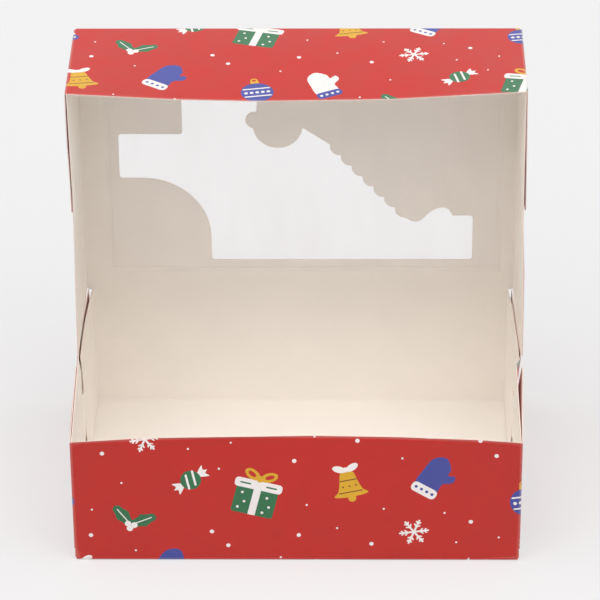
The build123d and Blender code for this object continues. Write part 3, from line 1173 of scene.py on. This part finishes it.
slit_y = float(np.interp(half_width - board / 2, tab_x[::-1], tab_y[::-1]))
print("lock slit at y %.2f mm" % slit_y)

# %% [markdown]
# Each bow is a small depth that is added when a panel is folded. It is written as a function of
# the place on the sheet, so it can fade to nothing where the panel meets its crease or its seam,
# and neighbouring pieces still join without a gap.

# %% Tray: how its sides and ears bow
def on_side(side, points):
    """Mirror an outline given for the right side, and keep its order."""
    return [(side * u, v) for u, v in points]


def on_each_side(u, stops, values, x):
    """Eased values from the left or the right table, by the sign of u."""
    return np.where(u < 0, eased(x, stops, values[-1]), eased(x, stops, values[1]))


def of_side(u, values):
    """The left or the right value, by the sign of u."""
    return np.where(u < 0, values[-1], values[1])


def wall_lean(u, y, height):
    """Outward lean of a side wall, which springs out against the lid's flap behind the slit."""
    return on_each_side(u, lean_stops, wall_leans, y) * np.clip(height / wall_top, 0, 1) ** 2


def bow_side_wall(u, v):
    """A side wall's lean, as a bow of its sheet."""
    return -wall_lean(u, v, np.abs(u) - half_width)


def bow_front_ear(u, v):
    """Bulge behind the front corner, and the spring of the two free corners behind the tab."""
    run = (np.abs(u) - front_half_width - seam) / (front_ear_end - front_half_width)
    height = -half_depth - v
    bulge = of_side(u, ear_bulge) * eased(run, bulge_shares, (0.0, 1.0, 0.0))
    spring = of_side(u, ear_spring) * eased(height, (tab_high, ear_high_z), (0.0, 1.0))
    spring = spring + ear_spring_low * eased(height, (ear_low_z, tab_low), (1.0, 0.0))
    return -bulge - spring * eased(run, spring_shares, (0.0, 1.0))


def bow_rear_ear(u, v):
    """The rear ear follows the wall's lean, and springs off it at its lower front corner."""
    forward = np.abs(u) - rear_corner_x
    height = v - half_depth
    free = np.clip(forward / (rear_ear_end - rear_corner_x), 0, 1) ** 2
    spring = rear_spring * free * eased(height, (rear_low_z, ear_high_z), (1.0, 0.0))
    follow = eased(forward, (seam, rear_bend), (0.0, 1.0))
    lean = wall_lean(u, half_depth - forward, height) * of_side(u, rear_leans)
    return spring - follow * lean


right_ear_bow = bow_front_ear(np.array([front_ear_end]), np.array([front_ear_high_v]))[0]
print("the right front ear's top corner stands %.1f mm out" % -right_ear_bow)

# %% [markdown]
# The left and the right side are mirror images but for their bows. So one loop makes both, from
# outlines that are drawn for the right side. Two more makers take up what comes again: a strip
# that bends round a crease, and a free end with round corners. The pieces are kept by side, to
# be told later which body carries them.

# %% Tray: make its sides and ears
def side_panel(name, side, outline, path, to_space, *bow_and_drop, **cuts):
    """Panel of a side strip, from its right side's outline; holes and lines go into cuts."""
    place = place_side(path, side, to_space, *bow_and_drop)
    return board_panel(name, on_side(side, outline), place, **cuts)


def crease_strip(name, side, at, v_first, v_last, *path_and_bow):
    """Narrow panel that bends round the crease at a distance from the sheet's middle."""
    low, high = sorted((v_first, v_last))
    return side_panel(name, side, block(at - seam, at + seam, v_first, v_last), *path_and_bow,
                      lines=crease_lines(side * at, low, high, True))


def free_end(root, end, v_low, v_high, radius):
    """Rectangle from a seam to a free end with two round corners."""
    return rounded(block(root, end, v_low, v_high), [0, radius, radius, 0])


board_sides, board_front_ears, board_rear_ears = {}, {}, {}
front_corners, rear_corners, lock_tabs = {}, {}, {}
for name, side in sides:
    wall = block(half_width + rim_seam, half_width + wall_top, -wall_end_v, wall_end_v)
    slit = block(half_width + (tab_low - slit_end_gap), half_width + (tab_high + slit_end_gap),
                 slit_y - slit_half_width, slit_y + slit_half_width)
    board_sides[name] = side_panel(
        "board_side_wall_" + name, side, wall, side_wall_path, to_side_wall, bow_side_wall,
        holes=[on_side(side, slit)])

    v_low, v_high = front_ear_low_v, front_ear_high_v
    tab_v_low, tab_v_high = -half_depth - tab_low, -half_depth - tab_high
    front_corners[name] = crease_strip(
        "crease_front_corner_" + name, side, front_half_width, v_low, v_high,
        front_ear_path, to_front_ear)
    root = front_ear_end - root_seam
    ear = [(front_half_width + seam, v_low), (front_ear_end, v_low),
           (front_ear_end, tab_v_low + step_gap), (root, tab_v_low + step_gap),
           (root, tab_v_high - step_gap), (front_ear_end, tab_v_high - step_gap),
           (front_ear_end, v_high), (front_half_width + seam, v_high)]
    board_front_ears[name] = side_panel(
        "board_front_ear_" + name, side,
        rounded(ear, [0, ear_corner_radius, 0, 0, 0, 0, ear_top_radius, 0]),
        front_ear_path, to_front_ear, bow_front_ear)
    tab_end = front_ear_end + tab_crossing + tab_leaf
    lines = []
    for corner_run in (front_ear_end, front_ear_end + tab_crossing):
        lines += crease_lines(side * corner_run, tab_v_high, tab_v_low, True)
    lock_tabs[name] = side_panel(
        "board_lock_tab_" + name, side,
        free_end(root, tab_end, tab_v_low, tab_v_high, tab_corner_radius),
        front_ear_path, to_front_ear, lines=lines)

    v_low, v_high = half_depth + max(rear_low_z, rim_seam), half_depth + ear_high_z
    rear_corners[name] = crease_strip(
        "crease_rear_corner_" + name, side, rear_corner_x, v_low, v_high,
        rear_ear_path, to_rear_corner)
    board_rear_ears[name] = side_panel(
        "board_rear_ear_" + name, side,
        free_end(rear_corner_x + seam, rear_ear_end, v_low, v_high, rear_corner_radius),
        rear_ear_path, to_rear_corner, bow_rear_ear)

# %% [markdown]
# The window's outline is taken from the loaded lid panel: the edges of its flat back face that
# lie inside the panel's rim, joined end to end. So the cut, the film and the solid agree.

# %% Lid: panel with the window
window_margin = 2.0       # the window keeps at least this far from the lid's creases
same_place = 1e-6         # metres within which two points are one


def window_loop():
    """Corner points of the lid panel's hole, in order, in millimetres on the sheet."""
    solid = bmesh.new()
    solid.from_mesh(frame["nodes"]["lid_panel"].data)
    bmesh.ops.remove_doubles(solid, verts=solid.verts, dist=same_place)
    back, margin = half_depth * MM, window_margin * MM
    flat_faces = {f for f in solid.faces if all(abs(v.co.y - back) < same_place for v in f.verts)}
    rim_edges = [e for e in solid.edges if sum(f in flat_faces for f in e.link_faces) == 1]
    half = lid_half_width * MM - margin
    low, high = hinge_z * MM + margin, fold_z * MM - margin
    inside = [e for e in rim_edges
              if all(abs(v.co.x) < half and low < v.co.z < high for v in e.verts)]
    ends = {}
    for edge in inside:
        a, b = edge.verts
        ends.setdefault(a.index, []).append(b.index)
        ends.setdefault(b.index, []).append(a.index)
    spots = {v.index: (v.co.x / MM, half_depth + v.co.z / MM) for v in solid.verts}
    first = min(ends)
    order, last = [first], None
    while True:
        following = [n for n in ends[order[-1]] if n != last]
        last = order[-1]
        if following[0] == first:
            break
        order.append(following[0])
    solid.free()
    return [spots[index] for index in order]


window = window_loop()
print("window outline has", len(window), "points")
panel_half = lid_half_width - seam
lid_outline = block(-panel_half, panel_half, hinge_run + hinge_reach, fold_run - seam)
board_lid = board_panel("board_lid_panel", lid_outline, place_middle(bow_back), holes=[window])

# %% [markdown]
# The lid's side flaps are short of the front flap by a board's thickness. The front flap is
# held at its two ends, so its free edge sags in the middle, and the whole flap droops a little
# more at the left. Its ears hang outside the side flaps and follow their gentle waves.

# %% Lid: how its flaps and ears bow
flap_sag = 4.5            # millimetres at the middle of the front flap's free edge
flap_droop = {-1: 2.0, 1: 0.7}      # millimetres at its left and right ends
flap_heights = (0.0, 0.26, 0.56, 0.82, 1.0)         # shares from the hinge up to the fold
flap_bows = {-1: (0.0, 0.0, 1.2, 0.4, 0.2), 1: (-1.9, -1.9, -0.1, -0.1, 0.0)}
ear_hangs = (0.0, 0.06, 0.12, 0.33, 0.6, 0.9, 1.0)   # shares from the fold down to the ear's end
ear_leans = {-1: (0.0, 0.5, 0.6, 0.3, -0.35, -0.8, -0.7),
             1: (0.0, 0.1, 0.12, 0.1, 0.3, 0.85, 0.85)}
edge_rise = 1.5           # the waves of flaps and ears grow by this power towards the free edge
sag_rise = 1.6            # and the front flap's sag by this one
fold_room = 0.25          # air between the side flaps and the front flap
fold_end_gap = 0.5        # the fold's soft ends are this much narrower than the crease
fold_half = lid_corner_x - crease_radius - fold_end_gap
side_flap_top = box_mm("lid_side_flap_right")[1].z - fold_room
lid_ear_corner_radius = 3.0
skirt_depth = half_depth - skirt_edge_y


def bow_side_flap(u, v):
    """Wave of a side flap; the sheet's u runs from its crease to its free edge."""
    reach = np.clip((np.abs(u) - lid_half_width - seam) / skirt_depth, 0, 1)
    height = (v - hinge_run) / (fold_run - hinge_run)
    return on_each_side(u, flap_heights, flap_bows, height) * reach ** edge_rise


def bow_lid_ear(u, v):
    """Lean of an ear, which hangs down along u and is freest along its front edge."""
    hang = (np.abs(u) - lid_corner_x) / (lid_ear_end - lid_corner_x)
    reach = np.clip((v - fold_run) / skirt_depth, 0, 1)
    return -on_each_side(u, ear_hangs, ear_leans, hang) * reach ** edge_rise


def flap_reach(v):
    """Share of the way from the front flap's crease to its free edge."""
    return np.clip((v - fold_run - seam) / (skirt_depth - seam), 0, 1)


def droop(u, v):
    """How far the front flap's print face lies below the lid's fold, without its sag."""
    across = np.clip(u / lid_corner_x, -1, 1)
    return flap_reach(v) * (flap_droop[-1] * (1 - across) + flap_droop[1] * (1 + across)) / 2


def bow_front_flap(u, v):
    """Droop and sag of the front flap towards its free edge."""
    middle = np.clip(1 - (u / lid_corner_x) ** 2, 0, 1)
    return droop(u, v) + flap_sag * middle * flap_reach(v) ** sag_rise


corner_drop = bow_front_flap(np.array([-lid_corner_x]), np.array([fold_run + skirt_depth]))[0]
print("the flap droops %.1f mm at its left corner" % corner_drop)

# %% [markdown]
# The flaps and ears are cut like the tray's. The front flap's outline steps in where its ears'
# creases begin, and the ears drop with it, so that they stay joined along the crease.

# %% Lid: make its flaps and ears
board_side_flaps, board_lid_ears, lid_corners = {}, {}, {}
bottom_v, crease_v = hinge_run + corner_reach, fold_run - seam
top_v = half_depth + side_flap_top
for name, side in sides:
    flap = [(lid_half_width + seam, bottom_v), (lid_half_width + skirt_depth, bottom_v),
            (lid_half_width + skirt_depth, top_v - flap_droop[side]),
            (lid_half_width + seam, top_v)]
    board_side_flaps[name] = side_panel(
        "board_lid_side_flap_" + name, side, flap, lid_side_path, to_rear_corner, bow_side_flap)
    lid_corners[name] = crease_strip(
        "crease_lid_side_" + name, side, lid_half_width, bottom_v, crease_v,
        lid_side_path, to_rear_corner)

ear_v_low = fold_run + half_depth - lid_ear_high_y
ear_v_high = fold_run + half_depth - lid_ear_low_y
free_v, free_u = fold_run + skirt_depth, lid_corner_x - crease_radius / 2
flap_right = [(free_u, free_v), (free_u, ear_v_high + step_gap),
              (lid_corner_x - seam, ear_v_high + step_gap),
              (lid_corner_x - seam, ear_v_low - step_gap),
              (lid_corner_x - crease_radius, ear_v_low - step_gap), (fold_half, fold_run + seam)]
board_flap = board_panel(
    "board_lid_front_flap", both_sides(flap_right), place_middle(bow_front_flap))

for name, side in sides:
    board_lid_ears[name] = side_panel(
        "board_lid_ear_" + name, side,
        free_end(lid_corner_x + seam, lid_ear_end, ear_v_low, ear_v_high, lid_ear_corner_radius),
        lid_ear_path, to_lid_ear, bow_lid_ear, droop)

# %% [markdown]
# Four creases move when the box is used: the lid's hinge, the front flap's fold and its two
# ears. Each is a thin strip of the same sheet that bends between the two panels it joins.

# %% Creases that move
hinge_low_half = rear_corner_x - seam
hinge_step_v = half_depth + ear_high_z + step_gap
hinge_half = rear_corner_x - board / 2              # wider above the rear ears
walls_end_v = half_depth + wall_top + step_gap      # and above the walls as wide as the lid
hinge_right = [(panel_half, hinge_run + hinge_reach), (panel_half, walls_end_v),
               (hinge_half, walls_end_v), (hinge_half, hinge_step_v),
               (hinge_low_half, hinge_step_v), (hinge_low_half, hinge_run - hinge_reach)]
crease_hinge = board_panel("crease_hinge", both_sides(hinge_right), place_middle(),
                           lines=crease_lines(hinge_run, -hinge_low_half, hinge_low_half, False))
print("hinge strip steps out at z %.2f mm" % (hinge_step_v - half_depth))
crease_fold = board_panel(
    "crease_lid_fold", block(-fold_half, fold_half, fold_run - seam, fold_run + seam),
    place_middle(), lines=crease_lines(fold_run, -fold_half, fold_half, False))
crease_ears = {}
for name, side in sides:
    crease_ears[name] = crease_strip(
        "crease_lid_ear_" + name, side, lid_corner_x, ear_v_low, ear_v_high,
        lid_ear_path, to_lid_ear, bow_lid_ear, droop)

# %% [markdown]
# Where the press scored the board, its inner face bulges into a soft bead. A bead follows a
# line, so Geometry Nodes make it: the crease lines become curves, wander a little, and get a
# round section. The result is turned into a plain mesh, and the modifier is dropped.

# %% Beads: make the node tree
bead_radius = 0.36
bead_cover = 0.06         # least board between a bead and the printed face
bead_step = 3.0           # length of one piece of its line
bead_wander = 0.06        # how far its line strays
bead_defaults = {"Radius": 0.0004, "Step": 0.003, "Wander": 0.0,      # in metres
                 "Lumps": 300.0}                                      # bends in a metre


def line_mesh(name, lines):
    """Object with one chain of edges for each line of points in millimetres."""
    points, edges = [], []
    for line in lines:
        edges += chain(len(points), len(line))
        points += [Vector(point) * MM for point in line]
    return new_object(name, points, edges)


def tube_tree():
    """Node tree: a wandering round bead along each chain of edges."""
    tree = bpy.data.node_groups.new("bead_along_lines", "GeometryNodeTree")
    face = tree.interface
    face.new_socket("Geometry", in_out="INPUT", socket_type="NodeSocketGeometry")
    for socket_name, value in bead_defaults.items():
        socket = face.new_socket(socket_name, in_out="INPUT", socket_type="NodeSocketFloat")
        socket.default_value = value
    face.new_socket("Finish", in_out="INPUT", socket_type="NodeSocketMaterial")
    face.new_socket("Geometry", in_out="OUTPUT", socket_type="NodeSocketGeometry")
    given = add_node(tree, "NodeGroupInput").outputs
    curve = add_node(tree, "GeometryNodeMeshToCurve", inputs={"Mesh": given["Geometry"]})
    evened = add_node(tree, "GeometryNodeResampleCurve", {"mode": "LENGTH"}, {
        "Curve": curve.outputs["Curve"], "Length": given["Step"]})
    position = add_node(tree, "GeometryNodeInputPosition").outputs["Position"]
    lumps = add_node(tree, "ShaderNodeTexNoise", inputs={
        "Vector": position, "Scale": given["Lumps"]})
    centred = add_node(tree, "ShaderNodeVectorMath", {"operation": "SUBTRACT"}, {
        0: lumps.outputs["Color"], 1: (0.5, 0.5, 0.5)})
    offset = add_node(tree, "ShaderNodeVectorMath", {"operation": "SCALE"}, {
        0: centred.outputs["Vector"], "Scale": given["Wander"]})
    moved = add_node(tree, "GeometryNodeSetPosition", inputs={
        "Geometry": evened.outputs["Curve"], "Offset": offset.outputs["Vector"]})
    ring = add_node(tree, "GeometryNodeCurvePrimitiveCircle", inputs={
        "Resolution": 10, "Radius": given["Radius"]})
    tube = add_node(tree, "GeometryNodeCurveToMesh", inputs={
        "Curve": moved.outputs["Geometry"], "Profile Curve": ring.outputs["Curve"],
        "Fill Caps": True})
    real = add_node(tree, "GeometryNodeRealizeInstances", inputs={
        "Geometry": tube.outputs["Mesh"]})
    painted = add_node(tree, "GeometryNodeSetMaterial", inputs={
        "Geometry": real.outputs["Geometry"], "Material": given["Finish"]})
    add_node(tree, "NodeGroupOutput", inputs={"Geometry": painted.outputs["Geometry"]})
    return tree


def grow(obj, tree, radius, step, wander, finish):
    """Run the bead's tree on an object, with sizes in millimetres, and keep its plain mesh."""
    modifier = obj.modifiers.new("grow", "NODES")
    modifier.node_group = tree
    sockets = {item.name: item.identifier for item in tree.interface.items_tree
               if item.in_out == "INPUT"}
    for name, value in (("Radius", radius * MM), ("Step", step * MM), ("Wander", wander * MM),
                        ("Finish", finish)):
        modifier[sockets[name]] = value
    evaluated = obj.evaluated_get(bpy.context.evaluated_depsgraph_get())
    mesh = bpy.data.meshes.new_from_object(evaluated)
    obj.modifiers.remove(modifier)
    obj.data = mesh
    mesh.name = obj.name
    mesh.polygons.foreach_set("use_smooth", [True] * len(mesh.polygons))
    print("%s: %d faces" % (obj.name, len(mesh.polygons)))
    return obj


print("one node tree makes the beads and the glue")

# %% [markdown]
# The beads lie in the corner behind each inner crease. How deep they sit follows from the
# crease's radius: a bead is sunk until it leaves only a thin cover of board in front of it.

# %% Beads: lay their lines and grow them
def straight(start, end, step=6.0):
    """Points from start to end, close enough together to bend."""
    a, b = Vector(start), Vector(end)
    count = max(2, round((b - a).length / step))
    return [a.lerp(b, i / count) for i in range(count + 1)]


def bead_inset(radius):
    """How far a bead's middle lies inside both printed faces that meet at its crease."""
    return (radius * (math.sqrt(2) - 1) + bead_cover + bead_radius) / math.sqrt(2)


bead_tree = tube_tree()
rim_inset, fold_inset = bead_inset(rim_radius), bead_inset(crease_radius)
bead_x, bead_y = half_width - rim_inset, half_depth - rim_inset
lid_x, lid_y = lid_half_width - fold_inset, half_depth - fold_inset
tray_lines = [straight((-back_end_u, y, rim_inset), (back_end_u, y, rim_inset))
              for y in (-bead_y, bead_y)]
tray_lines += [straight((x, -side_v, rim_inset), (x, side_v, rim_inset))
               for x in (-bead_x, bead_x)]
lid_lines = [straight((x, lid_y, hinge_z + hinge_reach), (x, lid_y, fold_z - seam))
             for x in (-lid_x, lid_x)]
fold_lines = [straight((-panel_half, lid_y, fold_z - fold_inset),
                       (panel_half, lid_y, fold_z - fold_inset))]
tray_beads, lid_beads, fold_bead = (
    grow(line_mesh(name, lines), bead_tree, bead_radius, bead_step, bead_wander, plain_board)
    for name, lines in (("crease_beads_tray", tray_lines), ("crease_beads_lid", lid_lines),
                        ("crease_bead_lid_fold", fold_lines)))

# %% [markdown]
# The film is one sheet, glued round the window on the inside. It is slightly loose, so it
# ripples, and the ripples must be in the mesh to catch the light. The glue is a thin bead
# that follows the film's edge, made by the same node tree as the creases.

# %% Window film and glue
film_low, film_high = box_mm("window_film")
film_columns, film_rows = 84, 56
ripple_height = 0.35
half_waves_across, half_waves_up = 7.5, 2.3
wave_fan = 0.35           # share of the film's width that the ripples lean over on their way up
glue_inset = 2.5
glue_radius = 0.14
glue_step, glue_wander = 2.0, 1.2


def film_ripple(x, z):
    """Inward ripple of the film: long folds that fan out from its lower corners."""
    u = (x - film_low.x) / (film_high.x - film_low.x)
    w = (z - film_low.z) / (film_high.z - film_low.z)
    edge = np.sin(np.pi * u) * np.sin(np.pi * w)
    across = np.sin(half_waves_across * np.pi * (u + wave_fan * w))
    upwards = np.cos(half_waves_up * np.pi * w)
    return ripple_height * edge * (0.5 + 0.5 * across * upwards)


def make_film():
    """Closed thin sheet with rippled faces."""
    def spot(column, row):
        """Number of the point in a column and a row."""
        return row * (film_columns + 1) + column

    us, ws = np.meshgrid(np.linspace(0, 1, film_columns + 1), np.linspace(0, 1, film_rows + 1))
    x = film_low.x + us.ravel() * (film_high.x - film_low.x)
    z = film_low.z + ws.ravel() * (film_high.z - film_low.z)
    inward = film_ripple(x, z) + bow_back(x, z + half_depth)
    front = np.stack((x, film_low.y - inward, z), 1)
    back = np.stack((x, film_high.y - inward, z), 1)
    count = len(x)
    faces = []
    for j in range(film_rows):
        for i in range(film_columns):
            a, b, c, d = spot(i, j), spot(i + 1, j), spot(i + 1, j + 1), spot(i, j + 1)
            faces += [(a, b, c, d), (d + count, c + count, b + count, a + count)]
    rim = [(spot(i, 0), spot(i + 1, 0)) for i in range(film_columns)]
    rim += [(spot(film_columns, j), spot(film_columns, j + 1)) for j in range(film_rows)]
    rim += [(spot(i + 1, film_rows), spot(i, film_rows)) for i in range(film_columns)]
    rim += [(spot(0, j + 1), spot(0, j)) for j in range(film_rows)]
    faces += [(b, a, a + count, b + count) for a, b in rim]
    made = new_object("clear_film", (np.vstack((front, back)) * MM).tolist(), faces=faces)
    shade_smooth(made.data)
    made.data.materials.append(window_plastic)
    return made


def with_the_lid(point):
    """Move a point of the lid inwards by the lid's own bow."""
    bow = bow_back(np.array([point.x]), np.array([point.z + half_depth]))
    return Vector((point.x, point.y - float(bow[0]), point.z))


film = make_film()
print("film has", len(film.data.polygons), "faces")
inner_y = half_depth - board
glue_y = (film_high.y + inner_y) / 2
corners = block(film_low.x + glue_inset, film_high.x - glue_inset,
                film_low.z + glue_inset, film_high.z - glue_inset)
glue_line = []
for (x0, z0), (x1, z1) in zip(corners, [*corners[1:], corners[0]]):
    glue_line += straight((x0, glue_y, z0), (x1, glue_y, z1))[:-1]
glue_line = [with_the_lid(point) for point in glue_line]
glue_line.append(glue_line[0])
glue_bead = grow(line_mesh("glue_line", [glue_line]), bead_tree,
                 glue_radius, glue_step, glue_wander, glue)

# %% [markdown]
# Last, each piece is told which body carries it. The moving creases and the fold's bead have
# their placing written into their meshes, and the front flap and the side pieces get meshes of
# their own.

# %% Ride and replace
for piece, node in (
        (board_bottom, "base_panel"), (board_front, "front_wall"), (board_back, "back_wall")):
    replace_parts(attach(piece, "tray"), node)
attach(tray_beads, "tray")
for name in ("left", "right"):
    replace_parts(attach(board_sides[name], "tray"), "side_wall_" + name)
    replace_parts(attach(board_front_ears[name], "tray"), "front_ear_" + name)
    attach(front_corners[name], "tray")
    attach(rear_corners[name], "tray")
    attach(lock_tabs[name], "tray")
    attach(lid_corners[name], "lid")
    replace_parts(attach(board_rear_ears[name], "tray"), "rear_ear_" + name)
    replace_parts(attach(board_side_flaps[name], "lid"), "lid_side_flap_" + name)
    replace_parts(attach(board_lid_ears[name], "lid_ear_" + name), "lid_ear_" + name)
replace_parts(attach(board_lid, "lid"), "lid_panel")
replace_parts(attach(board_flap, "lid_front_flap"), "lid_front_flap")
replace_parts(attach(film, "lid"), "window_film")
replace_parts(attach(glue_bead, "lid"), "film_glue")
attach(lid_beads, "lid")

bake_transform(crease_hinge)
for piece in (crease_fold, fold_bead):
    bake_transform(piece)
for name, side in sides:
    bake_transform(crease_ears[name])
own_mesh(board_flap)
for name, side in sides:
    for piece, print_x in (
            (board_sides[name], half_width), (board_front_ears[name], front_half_width),
            (board_rear_ears[name], rear_corner_x), (board_side_flaps[name], lid_half_width),
            (board_lid_ears[name], lid_corner_x)):
        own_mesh(piece)
